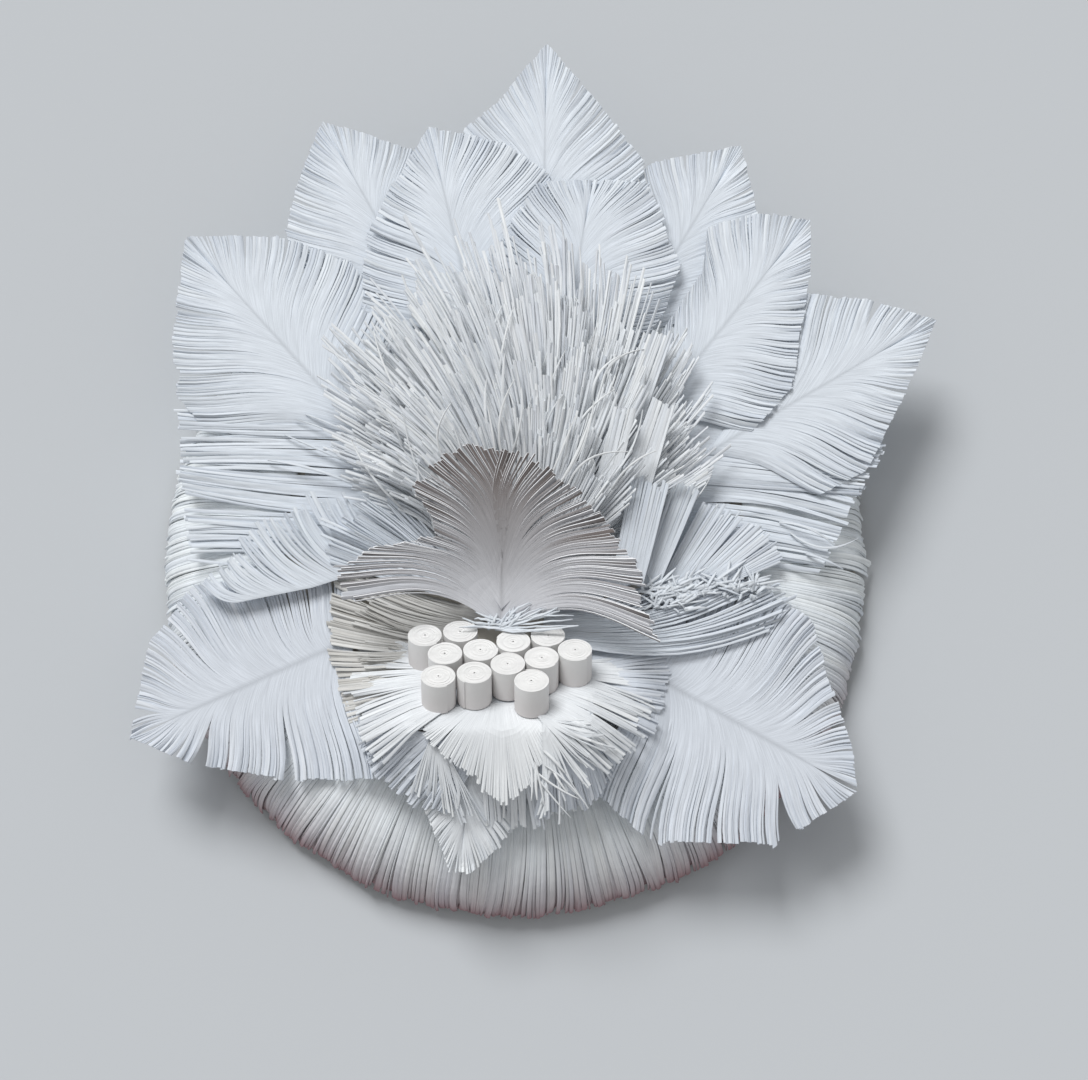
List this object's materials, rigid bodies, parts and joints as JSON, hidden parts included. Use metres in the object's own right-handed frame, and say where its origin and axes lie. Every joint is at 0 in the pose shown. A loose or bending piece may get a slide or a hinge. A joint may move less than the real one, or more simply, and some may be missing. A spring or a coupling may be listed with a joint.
{
  "type": "paper flower wall relief",
  "caption": "White fringe-cut paper flower relief: layered feathery petals, a strand mane, a leaning hood and rolled coils on a round base with a fringed rim.",
  "frame": {"origin": "centre of the base's flat back face", "axes": "+Z out of the flower's face, +Y towards its top petal, +X to the viewer's right"},
  "size_m": [0.1526, 0.1685, 0.0389],
  "materials": {
    "petal_paper": "matt white fringe-cut paper",
    "mane_paper": "matt white paper cut into fine strands",
    "rim_paper": "matt off-white fringe-cut paper with a faint blush at its ends",
    "coil_paper": "matt white quilling strip, tightly wound",
    "core_card": "plain grey card"
  },
  "bodies": {
    "root": {"base_form": "core_card", "coil_01": "coil_paper", "coil_02": "coil_paper", "coil_03": "coil_paper", "coil_04": "coil_paper", "coil_05": "coil_paper", "coil_06": "coil_paper", "coil_07": "coil_paper", "coil_08": "coil_paper", "coil_09": "coil_paper", "coil_10": "coil_paper", "coil_11": "coil_paper", "coil_12": "coil_paper", "hood_bract": "mane_paper", "hood_petal": "mane_paper", "left_side_fringe": "petal_paper", "left_wing": "petal_paper", "lip_front": "petal_paper", "lip_left_lower": "petal_paper", "lip_left_upper": "petal_paper", "lip_lowest": "petal_paper", "lip_right_lower": "petal_paper", "lip_right_upper": "petal_paper", "lip_wedge": "core_card", "lower_left_petal": "petal_paper", "lower_right_petal": "petal_paper", "mane_row_1": "mane_paper", "mane_row_2": "mane_paper", "mane_row_3": "mane_paper", "mane_row_4": "mane_paper", "mane_row_5": "mane_paper", "petal_far_right": "petal_paper", "petal_inner_left": "petal_paper", "petal_inner_right": "petal_paper", "petal_left": "petal_paper", "petal_right": "petal_paper", "petal_top": "petal_paper", "petal_upper_left": "petal_paper", "petal_upper_right": "petal_paper", "right_mid_fringe": "petal_paper", "right_shoulder_high": "petal_paper", "right_shoulder_low": "petal_paper", "right_shoulder_mid": "petal_paper", "right_side_fringe": "petal_paper", "right_wing": "petal_paper", "rim_fringe_lower": "rim_paper", "rim_fringe_upper": "rim_paper"}
  },
  "joints": []
}
